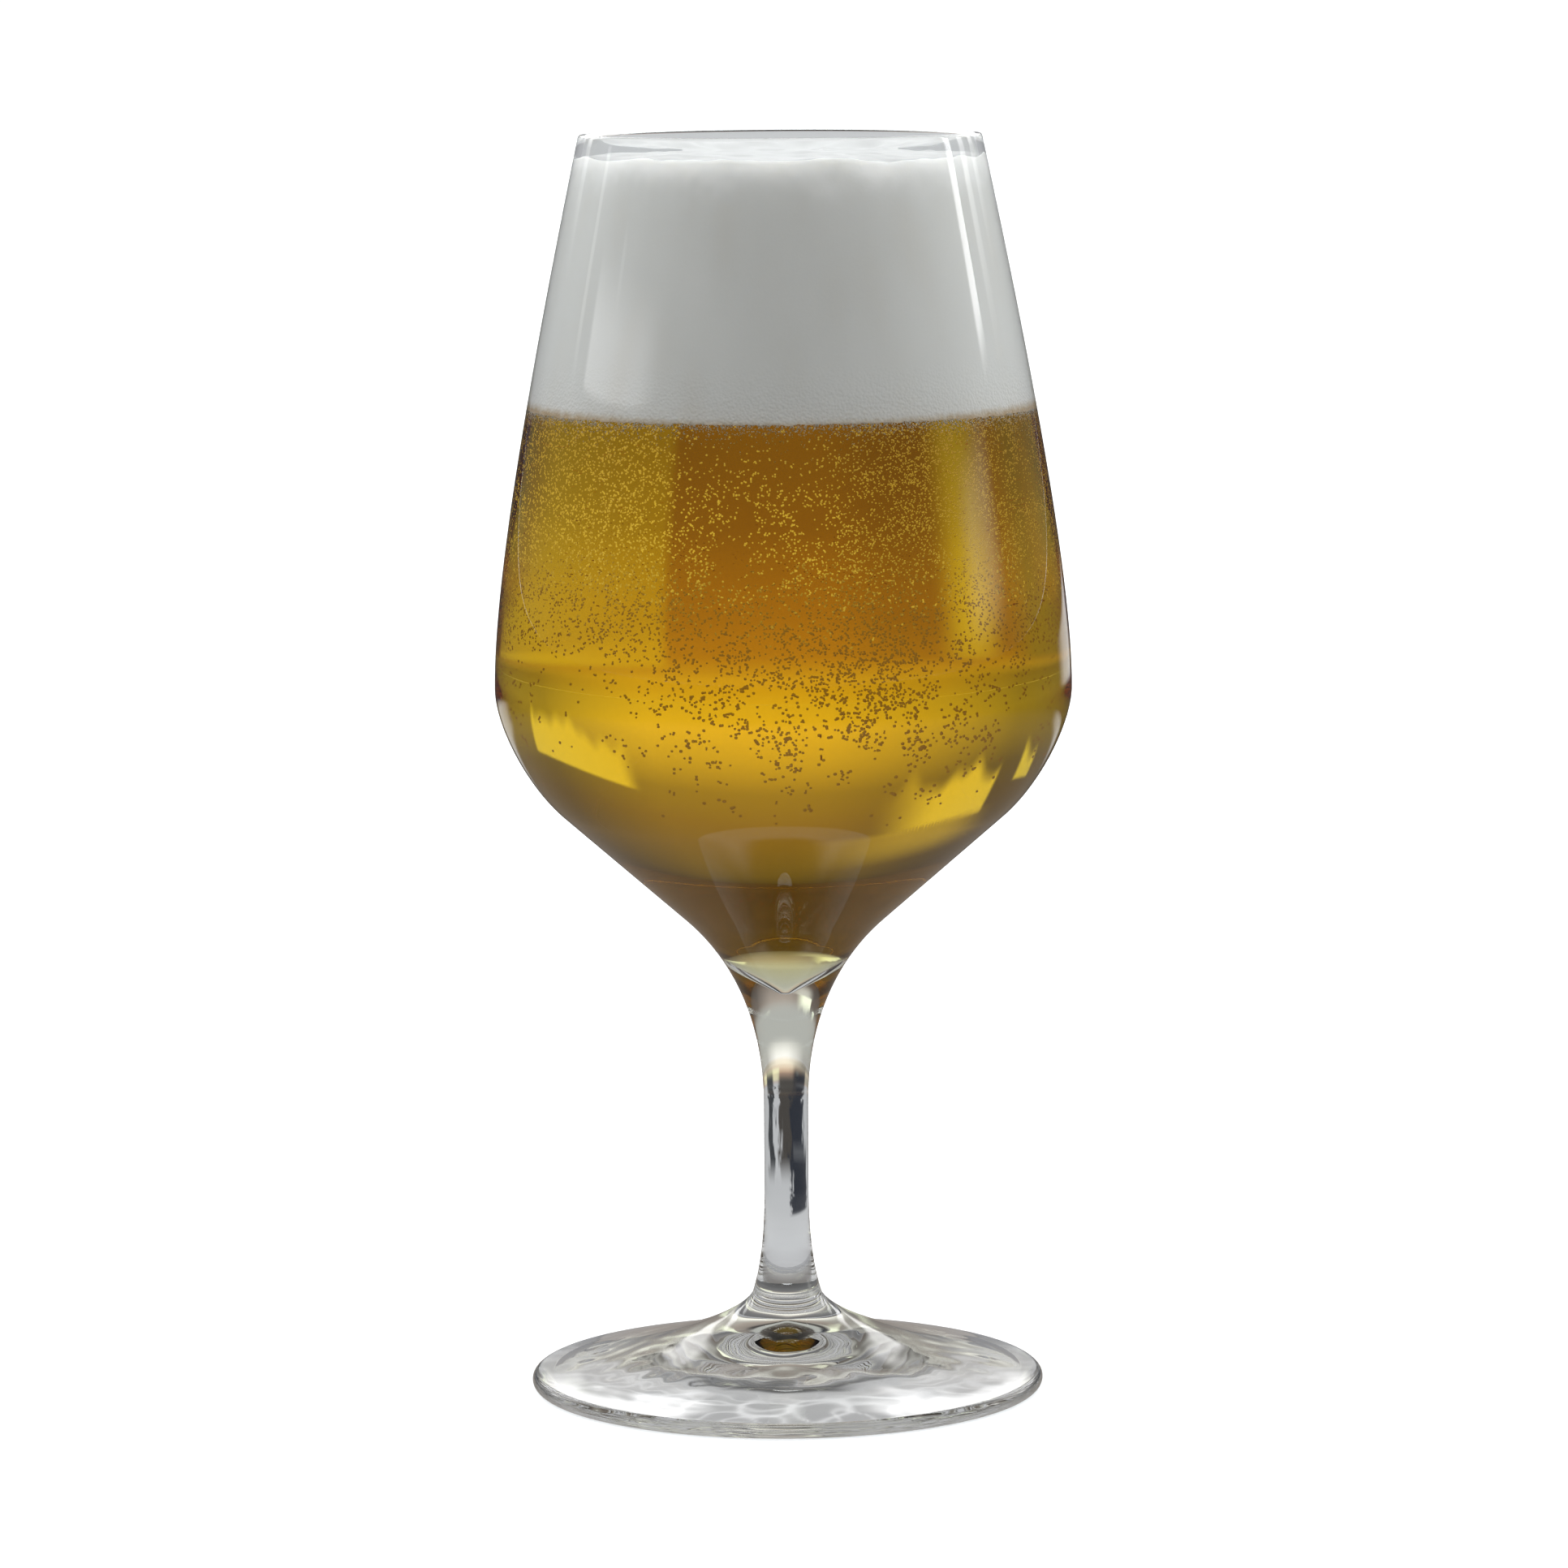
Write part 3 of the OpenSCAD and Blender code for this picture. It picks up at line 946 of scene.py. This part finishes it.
# %% [markdown]
# ## The floor
#
# The floor is one plain pale sheet. Over it lie cards that only the glass can see, a hair apart, because
# the floor of a real room is not even. Near the foot it carries painted shade from the glass. In the middle
# distance it is brown with wood, and it is bright where the far daylight falls on it.

# %% Floor
FLOOR_REACH = 30.0
FLOOR_Z = -0.06 * MM
PALE = plain_finish("pale_floor", "BsdfDiffuse", Color=(0.52, 0.52, 0.52, 1))

corners = np.array([[(-1, -1), (1, -1)], [(-1, 1), (1, 1)]]) * FLOOR_REACH
corners = np.concatenate([corners, np.full((2, 2, 1), FLOOR_Z)], axis=2)
sheet("floor", corners, PALE, ALL_RAYS)

# %% What is seen of the floor through the glass, in rings
CARD_NEAR = 2 * MM
CARD_FAR = 29.0
# The first rings are painted shade under the glass. Farther out come the wood and the daylight.
RING_TONES = np.array([
    (0.000, 0.08, 0.08, 0.08), (0.020, 0.20, 0.20, 0.20), (0.030, 0.42, 0.42, 0.42),
    (0.036, 0.50, 0.50, 0.51), (0.060, 0.60, 0.61, 0.62), (0.110, 0.51, 0.52, 0.53),
    (0.420, 0.50, 0.51, 0.52), (0.520, 0.53, 0.38, 0.28), (0.680, 0.57, 0.39, 0.28),
    (0.700, 0.60, 0.42, 0.30), (0.730, 0.68, 0.48, 0.33), (0.850, 0.77, 0.58, 0.40),
    (1.020, 0.83, 0.67, 0.48), (1.700, 1.04, 0.94, 0.73), (5.700, 1.12, 1.06, 0.92),
    (29.00, 1.18, 1.16, 1.06),
])
GLOW_LOBE = np.array([
    (-180, 0.20), (-120, 0.20), (-75, 0.34), (-46, 0.34), (-32, 0.36), (-24, 0.50),
    (-18, 0.64), (-11, 0.79), (-4, 0.96), (2, 1.00), (14, 0.95), (24, 0.68),
    (34, 0.43), (46, 0.42), (75, 0.38), (120, 0.20), (180, 0.20),
])
LOBE_REACHES = (0.6, 2.4)

turn, reach, table = ring_grid(FLOOR_Z / 2, CARD_NEAR, CARD_FAR)
tone = np.stack([np.interp(reach, RING_TONES[:, 0], RING_TONES[:, k]) for k in (1, 2, 3)], axis=2)
lobe = np.interp(turn, *GLOW_LOBE.T)
tone = tone * (1 + (lobe - 1) * ease(np.log(reach), *np.log(LOBE_REACHES)))[..., None]
print("rings of the floor: %d rows" % len(tone))

# %% Brighter and darker sides of the floor
GAIN_ON_RIGHT = (0.34, 0.78, 0.6)
RIGHT_SPAN = ((9.8, 61), (0.46, 1.25), (1.6, 5), (0.08, 0.62))
LOSS_ON_LEFT = 0.2
LEFT_SPAN = ((-40, -3), (0.5, 1.2), (10, 8), (0.16, 0.5))
FRONT_LOSS = 0.55
FOOT_TONE = 0.72

tone = tone * (1 + patch(turn, reach, *RIGHT_SPAN)[..., None] * GAIN_ON_RIGHT)
tone = tone * (1 - LOSS_ON_LEFT * patch(turn, reach, *LEFT_SPAN))[..., None]
ahead = in_front(turn, 0.1, 0.4) * ease(reach, 0.09, 0.13) * (1 - ease(reach, 0.4, 0.6))
tone = tone * (1 - FRONT_LOSS * ahead)[..., None]
by_foot = in_front(turn, -0.15, 0.2) * ease(reach, 0.012, 0.022) * (1 - ease(reach, 0.06, 0.10))
tone = tone + (FOOT_TONE - tone) * by_foot[..., None]
print("mean tone of the floor %.2f" % tone.mean())

# %% Patches of light and shade on the floor
UNROLLED = 6
EDGE_WANDER = ((2.2, 1.1, 51), (1.2, 0.4, 52))
WANDER_REACH = 0.4
FLOOR_PATCHES = (
    ((0.40, 0.37, 0.30), (-140, -27), (0.46, 1.30), (14, 9), (0.08, 0.6)),
    ((0.30, 0.21, 0.14), (57, 140), (0.46, 1.60), (5, 14), (0.08, 0.6)),
    ((0.88, 0.90, 0.76), (-27.0, -14.0), (0.48, 1.00), (7, 5), (0.1, 0.4)),
    ((0.03, 0.035, 0.04), (21, 40), (0.150, 0.46), (4, 4), (0.03, 0.10)),
    ((0.05, 0.045, 0.04), (-18, 14), (0.150, 0.46), (6, 6), (0.03, 0.10)),
    ((0.012, 0.017, 0.028), (-56, -6), (0.100, 0.20), (6, 4), (0.008, 0.03)),
    ((0.012, 0.017, 0.028), (-42, -6), (0.165, 0.46), (8, 4), (0.03, 0.10)),
)

unrolled = UNROLLED * np.stack([np.log(reach), np.radians(turn), 0 * reach], axis=2).reshape(-1, 3)
wander = swell(unrolled, *EDGE_WANDER).reshape(reach.shape) * (reach < WANDER_REACH)
for colour, *edges in FLOOR_PATCHES:
    weight = patch(turn + wander, reach, *edges)[..., None]
    tone = tone * (1 - weight) + np.array(colour) * weight
sheet("table_card", table, CARD, SEEN_THROUGH, tone, 1.0)

# %% [markdown]
# Light that is bent by the foot falls on the table below it as a net of bright lines. A path tracer needs
# very long to find them, so they are laid on a card of their own: bright where a smooth random height
# crosses zero, which is a net of closed lines. Only rays that have not been mirrored yet can see it.

# %% The net of light under the foot
GLINT_NETS = ((0.32, 13 * MM, 61), (0.26, 7 * MM, 62))
GLINT_WIDTH = 0.4
NET_LIGHT = 0.50
SIDE_LIGHT = 0.24
MOST_LIGHT = 0.92
MIDDLE_LIGHT = 0.58

foot_turn, foot_reaches, under_foot = ring_grid(FLOOR_Z / 3, 4 * MM, FOOT_R, 90, 361)
net = NET_LIGHT + SIDE_LIGHT * np.sin(np.radians(foot_turn)) ** 2
for strength, size, seed in GLINT_NETS:
    line = bell(ripples(under_foot.reshape(-1, 3), size, seed), 0, GLINT_WIDTH)
    net = net + strength * line.reshape(net.shape)
net = MIDDLE_LIGHT + (np.minimum(net, MOST_LIGHT) - MIDDLE_LIGHT) * ease(foot_reaches, 0.012, 0.022)
net_cover = in_front(foot_turn, -0.75, -0.3) * ease(foot_reaches, 0.006, 0.012)
sheet("foot_card", under_foot, DIRECT_CARD, SEEN_THROUGH, net[..., None], net_cover)

# %% What the glass mirrors of the floor
MIRROR_TINT = (1.1, 0.98, 0.88)
MIRROR_LIGHTS = (
    (1.0, (14, 40), (0.98, 2.20), (6, 10), (0.1, 0.4)),
    (0.8, (18, 45), (0.34, 0.48), (6, 10), (0.05, 0.05)),
    (0.8, (-42, -14), (0.34, 0.80), (10, 6), (0.06, 0.2)),
)

mirror_turn, mirror_reach, mirror = ring_grid(FLOOR_Z / 4, CARD_NEAR, CARD_FAR, 160, 181)
gloss = np.interp(mirror_reach, (0.04, 0.25, 0.5, 29), (0.28, 0.24, 0.06, 0.06))[..., None] * MIRROR_TINT
for strength, *edges in MIRROR_LIGHTS:
    weight = patch(mirror_turn, mirror_reach, *edges)[..., None]
    gloss = gloss * (1 - weight) + strength * weight
sheet("mirror_card", mirror, CARD, ("glossy",), gloss, 1.0)

# %% [markdown]
# ## Windows and cards
#
# A window is an upright curved panel around the axis. Lamps light the foam and are mirrored in the glass
# as bright streaks. Panes low behind the glass are seen through the beer, turned upside down, with the torn
# lower edge that trees outside would give. Dim cards close behind the rim, the neck and the stem give the
# clear glass something dark to show. The stem turns left and right about, so its cards are named for the
# side on which they are seen.

# %% Helper for windows
NO_WIDTH = 1e-9
WINDOW_ROWS = 49
WINDOW_COLUMNS = 65
WINDOW_FAR = 1.2
TORN_MIDDLE = 0.5
TORN_EDGE = ((0.25, 0.17, 41), (0.13, 0.06, 42))


def window(name, bearings, heights, colour, seen_by, fade, lean=0.0, finish=LAMP, ragged=0.0, far=WINDOW_FAR):
    """An upright panel that climbs by the lean. Its fade has shares for left, right, low and high edges."""
    b = np.radians(np.linspace(*bearings, WINDOW_COLUMNS))
    s = np.linspace(0, 1, WINDOW_COLUMNS)
    t = np.linspace(0, 1, WINDOW_ROWS)[:, None] + np.zeros(WINDOW_COLUMNS)
    z = heights[0] + (heights[1] - heights[0]) * t + lean * s
    points = np.stack([far * np.sin(b) + 0 * z, far * np.cos(b) + 0 * z, z], axis=2)
    edge = ragged * (TORN_MIDDLE + swell(points[0] * (1, 1, 0), *TORN_EDGE))
    left, right, low, high = fade
    cover = ease(s, -NO_WIDTH, left + NO_WIDTH) * (1 - ease(s, 1 - right, 1 + NO_WIDTH))
    cover = cover * ease(t - edge, -NO_WIDTH, low + NO_WIDTH) * (1 - ease(t, 1 - high, 1 + NO_WIDTH))
    sheet(name, points, finish, seen_by, colour, cover)


# %% [markdown]
# Two cards are studio tricks. A thin dark veil behind the beer deepens its colour towards the foam, as the
# many bubbles there do. A black flag keeps lamp light off the back of the foam, which would otherwise show
# in the glass wall as a thin bright line.

# %% A dark veil behind the beer and a black flag behind the foam
VEIL_R = 0.055
VEIL_SPAN = np.radians(np.linspace(-120, 120, 97))
VEIL_LEVELS = (0.1015, 0.106, 0.112, 0.116, 0.122, 0.1285, 0.15)
VEIL_COVERS = (0, 0.04, 0.2, 0.36, 0.46, 0.56, 0.58)
VEIL_TONE = (0.03, 0.01, 0.0)
FLAG_R = 0.06

veil_z = np.linspace(0.100, 0.152, 53)[:, None]
veil = np.broadcast_arrays(VEIL_R * np.sin(VEIL_SPAN), VEIL_R * np.cos(VEIL_SPAN), veil_z)
veil_cover = np.interp(veil_z, VEIL_LEVELS, VEIL_COVERS)
sheet("beer_veil", np.stack(veil, axis=2), CARD, SEEN_THROUGH, VEIL_TONE, veil_cover)
window("back_flag", (-80, 80), (0.132, 0.188), 0, ("shadow",), (0.1,) * 4, finish=CARD, far=FLAG_R)

# %% Windows that light the foam and are mirrored in the glass
EVEN_FADE = (0.3, 0.3, 0.3, 0.3)
SLATS = ((4.5, 10, 3.4), (12.5, 18, 2.8), (20.5, 27, 3.6), (30, 36, 2.8), (39, 47, 3.4), (52, 60, 3.0))
SLAT_HEIGHTS = (0.27, 0.95)
SLAT_FADE = (0.3, 0.3, 0.25, 0.3)
LEFT_SLATS_END = 50
RIGHT_LAMPS = [
    ("right_strip", (67, 74), (0.32, 0.75), 6, (0.15, 0.4, 0.1, 0.1), 0.0),
    ("right_window", (76, 104), (0.12, 0.36), (1.4, 1.4, 1.3), (0.4, 0.4, 0.4, 0.3), 0.0),
]
LEFT_LAMPS = [
    ("left_window", (-124, -76), (0.445, 0.535), 2.2, (0.35, 0.05, 0.1, 0.6), -0.115),
    ("left_strip", (-70, -66), (0.30, 0.48), 1.1, EVEN_FADE, 0.0),
    ("left_slit", (-94, -91), (0.40, 0.48), 1.0, EVEN_FADE, 0.0),
]

back_lamps = []
for number, (start, stop, strength) in enumerate(SLATS):
    slat = (SLAT_HEIGHTS, strength, SLAT_FADE, 0.0)
    back_lamps.append(("right_back_%d" % number, (start, stop), *slat))
    if stop < LEFT_SLATS_END:
        back_lamps.append(("left_back_%d" % number, (-stop, -start), *slat))
for name, bearings, heights, colour, fade, lean in RIGHT_LAMPS + back_lamps + LEFT_LAMPS:
    window(name, bearings, heights, colour, MIRRORED, fade, lean)

# %% Panes and cards that are seen through the glass
PANES = (
    ("low_right_pane", (15.5, 38), (0.18, 0.40), (1.2, 1.25, 0.95), (0.12, 0.05, 0.3, 0.08), -0.06, 0.4),
    ("low_left_pane", (-30, -9), (0.28, 0.60), (1.15, 1.2, 0.9), (0.05, 0.5, 0.3, 0.08), 0.0, 0.4),
    ("low_left_slit", (-42, -35), (0.24, 0.48), (1.1, 1.2, 0.9), (0.2, 0.2, 0.4, 0.1), 0.0, 0.3),
    ("low_left_glow", (-34, 0), (0.55, 0.86), (0.64, 0.63, 0.54), (0.4, 0.5, 0.1, 0.85), 0.0, 0.0),
)
STEM_FADE = (0.2, 0.2, 0.5, 0.45)
CARDS = (
    ("rim_card", (-70, 70), (0.166, 0.19), (0.58, 0.59, 0.60), (0.1, 0.1, 0.1, 0.1), 0.06),
    ("neck_card", (-70, 70), (0.046, 0.082), (0.46, 0.47, 0.43), (0.1, 0.1, 0.35, 0.35), 0.07),
    ("stem_left_card", (19, 42), (0.033, 0.0458), (0.04, 0.045, 0.05), STEM_FADE, 0.05),
    ("stem_mid_card", (-20, 14), (0.033, 0.0446), (0.06, 0.055, 0.05), STEM_FADE, 0.05),
    ("stem_right_card", (-44, -8), (0.033, 0.0474), (0.018, 0.022, 0.032), STEM_FADE, 0.05),
)

for name, bearings, heights, colour, fade, lean, ragged in PANES:
    window(name, bearings, heights, colour, SEEN_THROUGH, fade, lean, CARD, ragged)
for name, bearings, heights, colour, fade, far in CARDS:
    window(name, bearings, heights, colour, SEEN_THROUGH, fade, finish=CARD, far=far)

# %% [markdown]
# ## The sky
#
# The world answers each kind of ray in its own way. The camera sees plain white. Light seen through the
# glass has a bright band along the horizon, strongest straight behind, and is dim above. What the glass
# mirrors is nearly dark, so that only the windows shine in it. All other light is one broad soft lamp, high
# and behind the glass, which leaves the middle of the foam a little darker than its sides.

# %% World
SKY_STOPS = (
    (0.00, (1.16, 1.14, 1.04)), (0.06, (1.32, 1.30, 1.15)), (0.13, (1.04, 1.02, 0.90)),
    (0.22, (0.56, 0.53, 0.46)), (0.32, (0.44, 0.38, 0.32)), (0.45, (0.32, 0.28, 0.24)),
    (0.70, (0.15, 0.14, 0.12)), (1.00, (0.12, 0.11, 0.10)),
)
KEY_LEAN = math.radians(38)
KEY_WAY = (0.0, math.sin(KEY_LEAN), math.cos(KEY_LEAN))
KEY_LIGHT = 5.0
FILL_LIGHT = 0.03
lobe_stops = [((place + 180) / 360, (level, level, level)) for place, level in GLOW_LOBE]

scene = bpy.context.scene
world = bpy.data.worlds.new("studio")
scene.world = world
add_sky = node_adder(world)
look = add_sky("TexCoord").outputs["Generated"]
split = add_sky("SeparateXYZ", look)
height_tone = add_ramp(add_sky, split.outputs["Z"], SKY_STOPS)
around = add_sky("Math", split.outputs["X"], split.outputs["Y"])
around.operation = "ARCTAN2"
sky_turn = add_sky("MapRange", around, From_Min=-math.pi, From_Max=math.pi)
sky_glow = add_sky("VectorMath", height_tone, add_ramp(add_sky, sky_turn, lobe_stops))
sky_glow.operation = "MULTIPLY"
through = add_sky("Background", sky_glow)
mirrored = add_sky("Background", Color=(0.10, 0.10, 0.11, 1))
seen = add_sky("Background", Color=WHITE, Strength=1.05)
facing = add_sky("VectorMath", look, KEY_WAY)
facing.operation = "DOT_PRODUCT"
lit = facing.outputs["Value"]
soft = add_sky("MapRange", lit, From_Min=-0.1, From_Max=1.0, To_Min=FILL_LIGHT, To_Max=KEY_LIGHT)
sky = add_sky("Background", Color=(0.97, 0.99, 1.0, 1), Strength=soft)
sky_rays = add_sky("LightPath")
for kind, other in (("Is Glossy Ray", mirrored), ("Is Transmission Ray", through), ("Is Camera Ray", seen)):
    sky = add_sky("MixShader", sky_rays.outputs[kind], sky, other)
add_sky("OutputWorld", sky)
print("world: %d nodes" % len(world.node_tree.nodes))

# %% [markdown]
# ## Bounces and the camera
#
# A ray that enters a full glass crosses many faces before it leaves, so it is given more bounces than usual.
# The Standard view transform keeps the white background white. The camera stands a little above the glass
# and looks down at it through a long lens, so the sides stay nearly parallel.

# %% Bounces and camera
BOUNCES = 32
EYE = Vector((0, -0.8957, 0.1997))
AIM = Vector((0, 0, 0.08734))
ROLL = math.radians(-0.36)
FOCAL_LENGTH = 144.8
SENSOR_WIDTH = 36

scene.view_settings.view_transform = "Standard"
scene.cycles.max_bounces = BOUNCES
scene.cycles.transmission_bounces = BOUNCES
scene.cycles.glossy_bounces = BOUNCES
scene.cycles.transparent_max_bounces = BOUNCES
lens = bpy.data.cameras.new("camera")
lens.lens = FOCAL_LENGTH
lens.sensor_width = SENSOR_WIDTH
camera = bpy.data.objects.new("camera", lens)
bpy.context.collection.objects.link(camera)
camera.location = EYE
camera.rotation_mode = "QUATERNION"
camera.rotation_quaternion = (AIM - EYE).to_track_quat("-Z", "Y") @ Quaternion((0, 0, 1), ROLL)
bpy.context.scene.camera = camera
print("camera %.2f m from the axis" % math.hypot(EYE.x, EYE.y))
